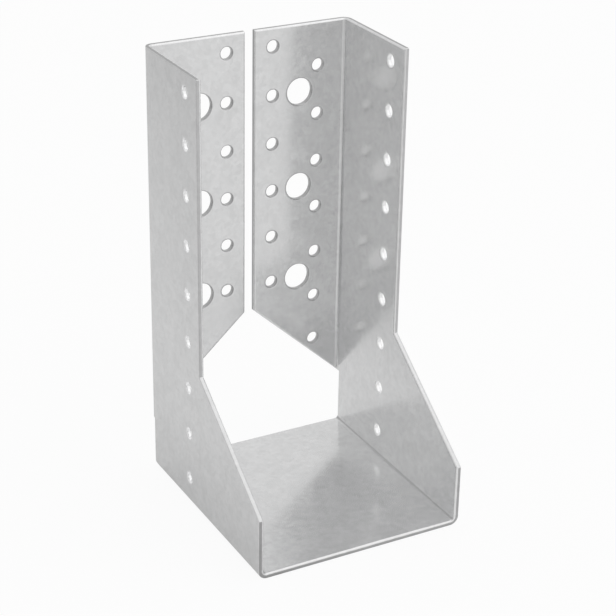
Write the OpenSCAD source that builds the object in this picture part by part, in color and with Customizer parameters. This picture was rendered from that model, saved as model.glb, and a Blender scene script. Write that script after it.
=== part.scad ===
// Joist hanger with flanges folded inward, made from one punched, cut and folded steel sheet.
// Millimetres. X is across the pocket, the joist comes in from -Y, the header is at +Y, Z is up.
// The origin is under the middle of the bounding box, on the face that the seat stands on.

/* [Pocket] */
// Clear width between the side plates, for the joist
pocket_w = 84; // [84:1:160]
// Clear height from the top of the seat to the top edge
pocket_h = 178; // [158:1:240]
// Whole depth, from the header face of the flanges to the front of the seat
depth = 97.5; // [80:0.5:130]

/* [Sheet] */
// Thickness of the sheet
sheet_t = 2; // [1.5:0.25:2.5]
// Inside radius of every fold
fold_r = 1.5; // [1:0.25:2.5]

/* [Side plates] */
// Depth of the upper part of a side plate, from the header face
strap_d = 47; // [40:0.5:60]
// Height at which the front edge starts to flare forward
flare_top = 61.5; // [45:0.5:80]
// Height below which a side plate is as deep as the seat
flare_bottom = 25.5; // [15:0.5:35]

/* [Flanges] */
// Width of a flange, from the outside of its side plate to its free edge
flange_w = 42; // [40:0.5:43]
// Height of the slanted lower edge at the free edge
slant_top = 61; // [50:0.5:68]
// Height of the slanted lower edge where the fold starts
slant_bottom = 26; // [20:0.5:30]

/* [Nail holes] */
// Diameter of a nail hole
nail_d = 5; // [4:0.25:6]
// Height step between the nail holes of a column
nail_pitch = 20; // [18:1:25]
// Distance from the top edge to the first nail holes
nail_top = 7.5; // [6:0.5:10]
// Distance from the free edge of a flange to its inner nail column
nail_edge = 8; // [6:0.5:9]
// Distance between the two nail columns of a flange
nail_col_step = 20; // [18:0.5:22]
// Distance from the upper front edge of a side plate to its nail column
side_nail_edge = 10; // [7:0.5:20]
// Least distance from a nail centre to the edge or fold below it
nail_margin = 5; // [4:0.5:8]

/* [Bolt holes] */
// Diameter of a bolt hole
bolt_d = 11; // [9:0.5:13]
// Distance from the free edge of a flange to its bolt column
bolt_edge = 20; // [18:0.5:20.5]
// Least distance from a bolt centre to the slanted edge below it
bolt_margin = 10; // [8:0.5:14]

/* [Hidden] */
$fn = 64;

// How far a cutting shape reaches past the sheet
over = 1;
// Keeps a row count from dropping by a rounding error
tiny = 0.001;

// Sheet and pocket
fold_ro = fold_r + sheet_t;
half_in = pocket_w / 2;
half_out = half_in + sheet_t;
total_h = pocket_h + sheet_t;

// Planes along the depth
y_back = depth / 2;
y_front = -depth / 2;
y_fold = y_back - fold_ro;
y_leg = y_fold - fold_ro;
y_strap = y_back - strap_d;

// Flange edges
flange_x = half_out - flange_w;
fold_x = half_out - fold_ro;
slant_k = (slant_top - slant_bottom) / (fold_x - flange_x);

// Hole columns, measured from the middle plane or from the header face
nail_x_inner = flange_x + nail_edge;
nail_x_outer = nail_x_inner + nail_col_step;
bolt_x = flange_x + bolt_edge;
side_nail_y = y_strap + side_nail_edge;

// Top rows: the outer nail column is half a step lower, and the bolts are a whole step lower
nail_z_inner = total_h - nail_top;
nail_z_outer = nail_z_inner - nail_pitch / 2;
bolt_z = nail_z_inner - nail_pitch;
bolt_pitch = 2 * nail_pitch;

// Rows that fit above the slanted edge or the bottom fold
inner_rows = rows(nail_z_inner, slant_height(nail_x_inner) + nail_margin, nail_pitch);
outer_rows = rows(nail_z_outer, slant_height(nail_x_outer) + nail_margin, nail_pitch);
bolt_rows = rows(bolt_z, slant_height(bolt_x) + bolt_margin, bolt_pitch);
side_rows = rows(nail_z_inner, fold_ro + nail_margin, nail_pitch);

// Height of the slanted edge at a distance from the middle plane
function slant_height(x) = slant_top - slant_k * (x - flange_x);

// Number of rows from the top row down to the lowest height allowed
function rows(top, low, step) = floor((top - low) / step + tiny) + 1;

// Area with two round lower corners
module round_bottomed(half, r, low, high) {
    translate([-half, low + r]) square([2 * half, high - low - r]);
    translate([r - half, low]) square([2 * (half - r), high - low]);
    for (s = [-1, 1]) translate([s * (half - r), low + r]) circle(r);
}

// Section across the seat and the two side plates, seen along the depth
module channel_section() {
    difference() {
        round_bottomed(half_out, fold_ro, 0, total_h);
        round_bottomed(half_in, fold_r, sheet_t, total_h + over);
    }
}

// Outline of a side plate and the seat, seen from the side
module side_outline() {
    polygon([
        [y_front, 0],
        [y_fold, 0],
        [y_fold, total_h],
        [y_strap, total_h],
        [y_strap, flare_top],
        [y_front, flare_bottom]
    ]);
}

// Area with one round corner, at its far end in both directions
module round_cornered(x_low, y_low, x_high, y_high, r) {
    translate([x_low, y_low]) square([x_high - r - x_low, y_high - y_low]);
    translate([x_low, y_low]) square([x_high - x_low, y_high - r - y_low]);
    translate([x_high - r, y_high - r]) circle(r);
}

// Section of one flange and its fold, seen from above, with a leg that reaches into the side plate
module flange_section() {
    difference() {
        round_cornered(flange_x, y_leg, half_out, y_back, fold_ro);
        round_cornered(flange_x - over, y_leg - over, half_in, y_back - sheet_t, fold_r);
    }
}

// Outline of one flange seen along the depth: its slanted lower edge runs on through the fold
module flange_outline() {
    polygon([
        [flange_x - over, total_h],
        [flange_x - over, slant_height(flange_x - over)],
        [half_out + over, slant_height(half_out + over)],
        [half_out + over, total_h]
    ]);
}

// Shape of an outline seen along the depth, carried from the back plane to the front
module along_depth(back, length) {
    translate([0, back, 0]) rotate([90, 0, 0]) linear_extrude(height = length) children();
}

// Shape of an outline seen from the side, carried across the width
module across(from, to) {
    translate([from, 0, 0]) rotate([90, 0, 90]) linear_extrude(height = to - from) children();
}

// Seat and side plates
module channel() {
    intersection() {
        along_depth(y_fold, depth - fold_ro) channel_section();
        across(-half_out - over, half_out + over) side_outline();
    }
}

// One flange with its fold
module flange() {
    intersection() {
        linear_extrude(height = total_h) flange_section();
        along_depth(y_back + over, y_back - y_leg + 2 * over) flange_outline();
    }
}

// A column of holes through the flanges, on both sides of the middle plane
module flange_holes(x, top, count, step, d) {
    for (s = [-1, 1]) {
        for (i = [0 : count - 1]) {
            translate([s * x, y_back + over, top - i * step]) rotate([90, 0, 0])
                cylinder(h = sheet_t + 2 * over, d = d);
        }
    }
}

// The nail columns of the side plates, in line with each other
module side_holes() {
    for (i = [0 : side_rows - 1]) {
        translate([-half_out - over, side_nail_y, nail_z_inner - i * nail_pitch]) rotate([0, 90, 0])
            cylinder(h = 2 * (half_out + over), d = nail_d);
    }
}

// The folded and punched sheet
module hanger() {
    color([0.72, 0.73, 0.74]) difference() {
        union() {
            channel();
            flange();
            mirror([1, 0, 0]) flange();
        }
        flange_holes(nail_x_inner, nail_z_inner, inner_rows, nail_pitch, nail_d);
        flange_holes(nail_x_outer, nail_z_outer, outer_rows, nail_pitch, nail_d);
        flange_holes(bolt_x, bolt_z, bolt_rows, bolt_pitch, bolt_d);
        side_holes();
    }
}

hanger();
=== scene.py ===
import math

import bpy
from mathutils import Matrix, Vector


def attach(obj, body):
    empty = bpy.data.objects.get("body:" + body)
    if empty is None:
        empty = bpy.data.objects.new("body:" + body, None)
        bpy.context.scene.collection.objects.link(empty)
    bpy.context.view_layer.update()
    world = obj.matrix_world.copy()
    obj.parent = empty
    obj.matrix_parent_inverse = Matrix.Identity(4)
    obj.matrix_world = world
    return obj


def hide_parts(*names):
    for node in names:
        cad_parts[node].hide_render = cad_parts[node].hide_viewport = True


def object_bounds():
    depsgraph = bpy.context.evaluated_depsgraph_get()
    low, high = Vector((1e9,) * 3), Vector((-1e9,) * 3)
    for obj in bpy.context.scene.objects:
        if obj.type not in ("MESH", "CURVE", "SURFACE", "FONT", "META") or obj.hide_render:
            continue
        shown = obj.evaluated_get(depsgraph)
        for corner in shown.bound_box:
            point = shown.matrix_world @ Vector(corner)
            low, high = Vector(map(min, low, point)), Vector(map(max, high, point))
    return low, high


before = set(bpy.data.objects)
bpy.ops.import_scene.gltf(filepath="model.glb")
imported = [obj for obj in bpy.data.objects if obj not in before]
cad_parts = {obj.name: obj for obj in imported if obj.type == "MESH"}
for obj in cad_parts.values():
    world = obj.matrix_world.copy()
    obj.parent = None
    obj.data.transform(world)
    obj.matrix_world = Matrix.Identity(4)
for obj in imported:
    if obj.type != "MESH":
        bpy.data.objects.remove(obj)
cad_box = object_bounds()

# Sizes of the folded sheet, in metres
MM = 0.001
SHEET = 2.0 * MM
FOLD_OUTER = 3.5 * MM
HALF_OUT = cad_box[1].x
BACK = cad_box[1].y
FOLD_X = HALF_OUT - FOLD_OUTER
FOLD_Y = BACK - FOLD_OUTER
FOLD_TOP = cad_box[1].z
STRAP_FOOT = 61.5 * MM
HOLE_SPAN = 15.0 * MM
TINY = 0.001 * MM

# Rims of the cut edges: the punch rolls one rim over and leaves the other nearly sharp
ROLLED_RIM = 0.7 * MM
HOLE_RIM = 0.4 * MM
SHARP_RIM = 0.2 * MM
CORNER_ROUND = 0.26 * MM
RIM_STRIP = 0.9 * MM
SLANT_STRIP = 1.3 * MM
RIM_SEGMENTS = 3
RIM_SLOT = 1
SKIN_FACING = 0.5
FLAT_ANGLE = math.radians(0.2)
RIM_ANGLE = math.radians(25.0)
SMOOTH_ANGLE = math.radians(40.0)

# Tones of the cut edges and of the hole walls, with the depths in the sheet where they start. The torn
# half also carries painted shade, weaker on edges that face up and forward; the hole walls carry a painted
# highlight in the side plates and painted shade in the flanges
RAGGED_LINE = 0.35 * MM
TORN_START = (0.02 * MM, 0.14 * MM)
ROLLED_START = (1.2 * MM, 1.3 * MM)
TORN_AND_SHADE_DIM = 0.45
ROLLED_TONE = 0.06
SLANT_PAINTED_LIGHT = 1.6
STRAP_PAINTED_LIGHT = 0.3
PLATE_HOLE_HIGHLIGHT = 0.16
FLANGE_HOLE_SHADE = -0.30

# Patterns of the zinc: scale, detail and roughness of each noise, and scale and share of the crystals
CLOUD_NOISE = (42.0, 4.0, 0.55)
GRAIN_NOISE = (900.0, 3.0, 0.6)
RAGGED_NOISE = (350.0, 2.0, 0.5)
FINE_CRYSTALS = 620.0
FINE_SHARE = 0.6
COARSE_CRYSTALS = 230.0
COARSE_SHARE = 0.4
MIDDLE = 0.5

# Tones and roughness of the zinc
ZINC_TONE = 0.82
SPANGLE_TONE = 0.10
CLOUD_TONE = 0.05
GRAIN_TONE = 0.05
GREEN_TINT = 1.002
BLUE_TINT = 1.005
ZINC_ROUGHNESS = 0.18
SPANGLE_ROUGHNESS = 0.06
CLOUD_ROUGHNESS = 0.03
TORN_ROUGHNESS = 0.2
METAL_SHARE = 0.8
BUMP_STRENGTH = 0.02
BUMP_HEIGHT = 0.2 * MM

# Painted shade in the creases beside the seat, on the inner skin
INNER_SKIN = (0.85 * SHEET, 0.95 * SHEET)
CREASE_SHADE_REACH = (0.3 * MM, 1.06 * MM)
CREASE_SHADE = 0.42

# Floor, in metres: the sheet mirrors it with a fade, a painted shadow band on the left and a dim front
# left
FLOOR_SIZE = 12.0
FLOOR_FADE = (-0.28, 0.02)
FLOOR_TONES = (0.39, 0.82)
SHADOW_BAND_START = (-0.075, -0.045)
SHADOW_BAND_END = (-0.03, 0.0)
SHADOW_BAND_DIM = 0.3
FRONT_SIDEWAYS = (0.0, -0.10)
FRONT_FORWARD = (0.0, -0.20)
FRONT_DIM = 0.15
FLOOR_PAINT = (0.9, 0.9, 0.9, 1.0)
FLOOR_GLOW = 0.5
SEEN_GLOW = 0.42

# Studio around the part: SOFT_LIGHT is the direction from the part to the soft light
WHITE = (1.0, 1.0, 1.0, 1.0)
STUDIO_TONES = (0.65, 0.85)
SOFT_LIGHT = (0.435, -0.79, 0.43)
SOFT_LIGHT_RIM = (0.80, 0.92)
SOFT_LIGHT_TONE = 0.22
LAMP_SIZE = 1.4
LAMP_POWER = 1.9
LAMP_PLACE = (0.5, -0.2, 1.5)

# Camera of the photograph, as 616 by 616 pixels, with angles in degrees and its offset in millimetres
IMAGE = 616
FOCAL_PIXELS = 1800.0
SENSOR = 36.0
CAMERA_AZIMUTH = 28.82
CAMERA_TILT = 25.40
CAMERA_ROLL = 1.01
CAMERA_OFFSET = (-26.0, 55.8, 767.9)


# Shader maths
class Value:
    """A socket of a node tree, with the operators that the finishes use."""

    def __init__(self, tree, socket):
        self.tree = tree
        self.socket = socket

    def math(self, operation, *others):
        return self.tree.node("ShaderNodeMath", {"operation": operation}, [self, *others])

    def __add__(self, other):
        return self.math("ADD", other)

    def __radd__(self, other):
        return self.math("ADD", other)

    def __sub__(self, other):
        return self.math("SUBTRACT", other)

    def __rsub__(self, other):
        return self.tree.node("ShaderNodeMath", {"operation": "SUBTRACT"}, [other, self])

    def __mul__(self, other):
        return self.math("MULTIPLY", other)


class Nodes:
    """A node tree that is emptied and then built from values and links."""

    def __init__(self, tree):
        self.nodes = tree.nodes
        self.links = tree.links
        self.nodes.clear()

    def node(self, kind, settings=None, sockets=None, output=0):
        made = self.nodes.new(kind)
        for name, setting in (settings or {}).items():
            setattr(made, name, setting)
        given = sockets or {}
        pairs = given.items() if isinstance(given, dict) else enumerate(given)
        for key, value in pairs:
            if isinstance(value, Value):
                self.links.new(value.socket, made.inputs[key])
            else:
                made.inputs[key].default_value = value
        return Value(self, made.outputs[output]) if made.outputs else None

    def attribute(self, name):
        return self.node("ShaderNodeAttribute", {"attribute_name": name}, output="Fac")

    def axis(self, place, name):
        return self.node("ShaderNodeSeparateXYZ", None, {"Vector": place}, name)

    def ramp(self, value, low, high, start=0.0, end=1.0):
        return self.node(
            "ShaderNodeMapRange", None,
            {"Value": value, "From Min": low, "From Max": high, "To Min": start, "To Max": end})

    def noise(self, place, scale, detail, roughness):
        return self.node(
            "ShaderNodeTexNoise", None,
            {"Vector": place, "Scale": scale, "Detail": detail, "Roughness": roughness}, "Fac")

    def crystals(self, place, scale):
        cell = self.node(
            "ShaderNodeTexVoronoi", {"feature": "F1"}, {"Vector": place, "Scale": scale}, "Color")
        return self.node("ShaderNodeSeparateColor", None, {"Color": cell}, "Red")


def new_finish(name):
    """Makes a material, and gives it with its empty node tree."""
    material = bpy.data.materials.new(name)
    material.use_nodes = True
    return material, Nodes(material.node_tree)


# Galvanised sheet steel: fine zinc crystals and faint clouds, with painted shade in the creases beside the
# seat.
# A cut edge has a torn, dark half and a rolled, bright half; the torn half also carries painted shade,
# weaker where the side plates' edges face up and forward. Hole walls carry a painted highlight in the side
# plates and painted shade in the flanges.
def galvanised_steel():
    material, tree = new_finish("galvanised_steel")
    place = tree.node("ShaderNodeTexCoord", output="Object")
    beside = (tree.axis(place, "X").math("ABSOLUTE") - FOLD_X).math("MAXIMUM", 0.0)
    behind = (tree.axis(place, "Y") - FOLD_Y).math("MAXIMUM", 0.0)
    below = (FOLD_OUTER - tree.axis(place, "Z")).math("MAXIMUM", 0.0)
    depth = FOLD_OUTER - (beside * beside + behind * behind + below * below).math("SQRT")

    cloud = tree.noise(place, *CLOUD_NOISE)
    grain = tree.noise(place, *GRAIN_NOISE)
    ragged = depth + (tree.noise(place, *RAGGED_NOISE) - MIDDLE) * RAGGED_LINE
    fine = tree.crystals(place, FINE_CRYSTALS)
    coarse = tree.crystals(place, COARSE_CRYSTALS)
    spangle = fine * FINE_SHARE + coarse * COARSE_SHARE - MIDDLE

    rolled_half = tree.ramp(ragged, *ROLLED_START)
    rolled = tree.attribute("rolled_edge") * rolled_half
    # The torn half is partly the torn zone of the cut and partly painted shade.
    torn_and_shade = tree.attribute("torn_and_shaded_edge") * (1.0 - rolled_half) * tree.ramp(depth, *TORN_START)
    inner_skin = tree.ramp(depth, *INNER_SKIN)
    # Painted shade in the creases beside the seat, on the inner skin.
    crease_shade = tree.ramp(beside.math("MINIMUM", below), *CREASE_SHADE_REACH) * inner_skin

    tone = ZINC_TONE + spangle * SPANGLE_TONE
    tone = tone + (cloud - MIDDLE) * CLOUD_TONE + (grain - MIDDLE) * GRAIN_TONE
    tone = tone * (1.0 - torn_and_shade * TORN_AND_SHADE_DIM) * (1.0 - crease_shade * CREASE_SHADE)
    # The hole walls add their painted highlight in the side plates and painted shade in the flanges.
    tone = tone + rolled * ROLLED_TONE + tree.attribute("hole_highlight_and_shade")
    color = tree.node(
        "ShaderNodeCombineColor", None,
        {"Red": tone, "Green": tone * GREEN_TINT, "Blue": tone * BLUE_TINT})
    roughness = ZINC_ROUGHNESS + spangle * SPANGLE_ROUGHNESS
    roughness = roughness + (cloud - MIDDLE) * CLOUD_ROUGHNESS + torn_and_shade * TORN_ROUGHNESS
    bump = tree.node(
        "ShaderNodeBump", None,
        {"Strength": BUMP_STRENGTH, "Distance": BUMP_HEIGHT, "Height": grain}, "Normal")
    surface = tree.node(
        "ShaderNodeBsdfPrincipled", None,
        {"Base Color": color, "Metallic": METAL_SHARE, "Roughness": roughness, "Normal": bump})
    tree.node("ShaderNodeOutputMaterial", None, {"Surface": surface})
    return material


# Plain white floor that takes a faint shadow, and that the sheet mirrors darker on the left, with a
# painted shadow band beside the part
def white_floor():
    material, tree = new_finish("white_floor")
    seen = tree.node("ShaderNodeLightPath", output="Is Camera Ray")
    place = tree.node("ShaderNodeTexCoord", output="Object")
    across = tree.axis(place, "X")
    along = tree.axis(place, "Y")
    # Painted contact shadow: a band beside the left plate that the sheet mirrors darker.
    shadow_band = tree.ramp(across, *SHADOW_BAND_START) * tree.ramp(across, *SHADOW_BAND_END, 1.0, 0.0)
    front = tree.ramp(across, *FRONT_SIDEWAYS) * tree.ramp(along, *FRONT_FORWARD)
    fade = tree.ramp(across, *FLOOR_FADE, *FLOOR_TONES)
    mirrored = fade * (1.0 - shadow_band * SHADOW_BAND_DIM) * (1.0 - front * FRONT_DIM)
    paint = tree.node("ShaderNodeBsdfDiffuse", None, {"Color": FLOOR_PAINT})
    glow = tree.node("ShaderNodeEmission", None, {"Strength": mirrored + (1.0 - mirrored) * seen})
    mixed = tree.node("ShaderNodeMixShader", None, {0: FLOOR_GLOW + seen * SEEN_GLOW, 1: paint, 2: glow})
    tree.node("ShaderNodeOutputMaterial", None, {"Surface": mixed})
    return material


# White studio around the part, a little darker on the left, with a soft light at the front right
def white_studio():
    world = bpy.data.worlds.new("white_studio")
    world.use_nodes = True
    tree = Nodes(world.node_tree)
    seen = tree.node("ShaderNodeLightPath", output="Is Camera Ray")
    toward = tree.node("ShaderNodeTexCoord", output="Generated")
    facing = tree.node(
        "ShaderNodeVectorMath", {"operation": "DOT_PRODUCT"}, {0: toward, 1: SOFT_LIGHT}, "Value")
    around = tree.ramp(tree.axis(toward, "X"), -1.0, 1.0, *STUDIO_TONES)
    mirrored = around + tree.ramp(facing, *SOFT_LIGHT_RIM, 0.0, SOFT_LIGHT_TONE)
    sky = tree.node(
        "ShaderNodeBackground", None,
        {"Color": WHITE, "Strength": mirrored + (1.0 - mirrored) * seen})
    tree.node("ShaderNodeOutputWorld", None, {"Surface": sky})
    return world


def outward(point):
    """Direction out of the folded sheet through its outer skin, at a point in the sheet."""
    reach = Vector((
        math.copysign(max(abs(point.x) - FOLD_X, 0.0), point.x),
        max(point.y - FOLD_Y, 0.0),
        min(point.z - FOLD_OUTER, 0.0)))
    return reach.normalized()


def skin_of(polygon):
    """Tells the pocket side and the outer side of the sheet from its cut edges."""
    facing = polygon.normal.dot(outward(polygon.center))
    if abs(facing) < SKIN_FACING:
        return "cut"
    return "outer" if facing > 0.0 else "inner"


def select_faces(mesh, wanted):
    """Selects the faces of one kind, in object mode."""
    for vertex in mesh.vertices:
        vertex.select = False
    for edge in mesh.edges:
        edge.select = False
    for polygon in mesh.polygons:
        polygon.select = skin_of(polygon) == wanted


def mark_holes(mesh):
    """Marks the points of the hole walls, which are the small islands of cut faces."""
    marks = mesh.attributes.new("at_hole", "FLOAT", "POINT")
    cut = [p for p in mesh.polygons if skin_of(p) == "cut"]
    faces_at = {}
    for polygon in cut:
        for vertex in polygon.vertices:
            faces_at.setdefault(vertex, []).append(polygon.index)
    left = {p.index for p in cut}
    while left:
        island = set()
        todo = [left.pop()]
        while todo:
            face = todo.pop()
            island.add(face)
            near = {f for v in mesh.polygons[face].vertices for f in faces_at[v]}
            todo.extend(near & left)
            left -= near
        points = {v for f in island for v in mesh.polygons[f].vertices}
        start = mesh.vertices[min(points)].co
        span = max((mesh.vertices[p].co - start).length for p in points)
        if span < HOLE_SPAN:
            for point in points:
                marks.data[point].value = 1.0


def all_at_hole(mesh, points):
    """Tells whether all the points are on the wall of a hole."""
    marks = mesh.attributes["at_hole"]
    return all(marks.data[p].value > MIDDLE for p in points)


def line_up_folds(mesh):
    """Puts the strip points at the slanted ends of the flange folds straight above their rim points."""
    rim = {v for p in mesh.polygons if skin_of(p) == "cut" for v in p.vertices}
    for edge in mesh.edges:
        below, above = sorted(edge.vertices, key=lambda v: v not in rim)
        if below not in rim or above in rim:
            continue
        start = mesh.vertices[below].co
        in_fold = start.y > FOLD_Y + TINY and abs(start.x) > FOLD_X - TINY
        if in_fold and start.z < FOLD_TOP - TINY:
            mesh.vertices[above].co = start + Vector((0.0, 0.0, SLANT_STRIP))


def edge_faces(mesh):
    """Lists the faces at each edge."""
    found = {}
    for polygon in mesh.polygons:
        for key in polygon.edge_keys:
            found.setdefault(key, []).append(polygon)
    return found


def mark_finish(mesh):
    """Marks the faces of the cut edges, with painted shade and brightening that are weaker on the fronts
    of the side plates, and of the hole walls, with a painted highlight in the side plates and painted
    shade in the flanges.
    """
    for name in ("rolled_edge", "torn_and_shaded_edge", "hole_highlight_and_shade"):
        mesh.attributes.new(name, "FLOAT", "FACE")
    rolled_edge = mesh.attributes["rolled_edge"]
    torn_and_shaded_edge = mesh.attributes["torn_and_shaded_edge"]
    hole_highlight_and_shade = mesh.attributes["hole_highlight_and_shade"]
    for polygon in mesh.polygons:
        if polygon.material_index != RIM_SLOT and skin_of(polygon) != "cut":
            continue
        on_plate = polygon.center.y < FOLD_Y
        # Hole walls get a painted highlight in the side plates and painted shade in the flanges.
        if all_at_hole(mesh, polygon.vertices):
            hole_highlight_and_shade.data[polygon.index].value = PLATE_HOLE_HIGHLIGHT if on_plate else FLANGE_HOLE_SHADE
        else:
            # Edges of the side plates that face up and forward, and the strap fronts, get less painted
            # shade: painted light by facing.
            slant = max(-polygon.normal.y * polygon.normal.z, 0.0) if on_plate else 0.0
            strap = max(-polygon.normal.y, 0.0) if on_plate and polygon.center.z > STRAP_FOOT else 0.0
            rolled_edge.data[polygon.index].value = 1.0 - SLANT_PAINTED_LIGHT * slant
            torn_and_shaded_edge.data[polygon.index].value = 1.0 - SLANT_PAINTED_LIGHT * slant - STRAP_PAINTED_LIGHT * strap


def sheet_copy():
    """Gives a copy of the CAD sheet as the active object, with its flat faces joined."""
    piece = bpy.data.objects.new("folded_sheet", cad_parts["hanger"].data.copy())
    bpy.context.scene.collection.objects.link(piece)
    bpy.ops.object.select_all(action="DESELECT")
    piece.select_set(True)
    bpy.context.view_layer.objects.active = piece
    bpy.ops.mesh.customdata_custom_splitnormals_clear()
    bpy.ops.object.mode_set(mode="EDIT")
    bpy.ops.mesh.select_all(action="SELECT")
    bpy.ops.mesh.remove_doubles(threshold=TINY)
    bpy.ops.mesh.dissolve_limited(angle_limit=FLAT_ANGLE, delimit=set())
    bpy.ops.object.mode_set(mode="OBJECT")
    return piece


def add_rim_strips(mesh):
    """Insets both skins of the active sheet, which leaves a narrow strip along every rim."""
    for skin in ("inner", "outer"):
        select_faces(mesh, skin)
        bpy.ops.object.mode_set(mode="EDIT")
        bpy.ops.mesh.select_mode(type="FACE")
        bpy.ops.mesh.inset(thickness=RIM_STRIP, use_boundary=True, use_even_offset=True)
        bpy.ops.object.mode_set(mode="OBJECT")
    line_up_folds(mesh)


def weigh_rims(mesh):
    """Gives every rim its width, as a share of the rolled rim."""
    weight = mesh.attributes.new("bevel_weight_edge", "FLOAT", "EDGE")
    faces_at = edge_faces(mesh)
    for edge in mesh.edges:
        faces = faces_at[edge.key]
        if faces[0].normal.angle(faces[1].normal) < RIM_ANGLE:
            continue
        skins = {skin_of(f) for f in faces}
        if "inner" in skins:
            size = HOLE_RIM if all_at_hole(mesh, edge.vertices) else ROLLED_RIM
        elif "outer" in skins:
            size = SHARP_RIM
        else:
            size = CORNER_ROUND
        weight.data[edge.index].value = size / ROLLED_RIM


def round_rims(piece, finish):
    """Rounds the rims. A second slot with the same finish tells the new faces until they are marked."""
    mesh = piece.data
    mesh.materials.clear()
    mesh.materials.append(finish)
    mesh.materials.append(finish)
    rims = piece.modifiers.new("rims", "BEVEL")
    rims.limit_method = "WEIGHT"
    rims.width = ROLLED_RIM
    rims.segments = RIM_SEGMENTS
    rims.use_clamp_overlap = False
    rims.material = RIM_SLOT
    bpy.ops.object.modifier_apply(modifier="rims")
    mark_finish(mesh)
    for polygon in mesh.polygons:
        polygon.material_index = 0
    mesh.materials.pop(index=RIM_SLOT)


# The folded sheet, with rolled and sharp rims on its cut edges
def folded_sheet(finish):
    piece = sheet_copy()
    mark_holes(piece.data)
    add_rim_strips(piece.data)
    weigh_rims(piece.data)
    round_rims(piece, finish)
    bpy.ops.object.shade_smooth_by_angle(angle=SMOOTH_ANGLE)
    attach(piece, "root")
    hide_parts("hanger")


# Floor and light
def studio():
    bpy.ops.mesh.primitive_plane_add(size=FLOOR_SIZE, location=(0.0, 0.0, 0.0))
    floor = bpy.context.object
    floor.name = "floor"
    floor.data.materials.append(white_floor())

    bpy.context.scene.world = white_studio()

    lamp = bpy.data.lights.new("overhead", "AREA")
    lamp.shape = "SQUARE"
    lamp.size = LAMP_SIZE
    lamp.energy = LAMP_POWER
    holder = bpy.data.objects.new("overhead", lamp)
    holder.location = LAMP_PLACE
    bpy.context.scene.collection.objects.link(holder)


# Camera at the photograph's viewing angle
def photo_camera():
    azimuth = math.radians(CAMERA_AZIMUTH)
    tilt = math.radians(CAMERA_TILT)
    roll = math.radians(CAMERA_ROLL)
    forward = Vector((
        math.sin(azimuth) * math.cos(tilt),
        math.cos(azimuth) * math.cos(tilt),
        -math.sin(tilt)))
    right = Vector((math.cos(azimuth), -math.sin(azimuth), 0.0))
    down = forward.cross(right)
    across = right * math.cos(roll) - down * math.sin(roll)
    below = down * math.cos(roll) + right * math.sin(roll)
    offset = Vector(CAMERA_OFFSET) * MM
    place = -(across * offset.x + below * offset.y + forward * offset.z) + Vector((0.0, BACK, 0.0))

    camera = bpy.data.cameras.new("photo_camera")
    camera.sensor_width = SENSOR
    camera.lens = FOCAL_PIXELS / IMAGE * SENSOR
    holder = bpy.data.objects.new("photo_camera", camera)
    axes = Matrix((across, -below, -forward)).transposed()
    holder.matrix_world = Matrix.Translation(place) @ axes.to_4x4()
    bpy.context.scene.collection.objects.link(holder)
    bpy.context.scene.camera = holder


bpy.context.scene.view_settings.view_transform = "Standard"
photo_camera()
folded_sheet(galvanised_steel())
studio()
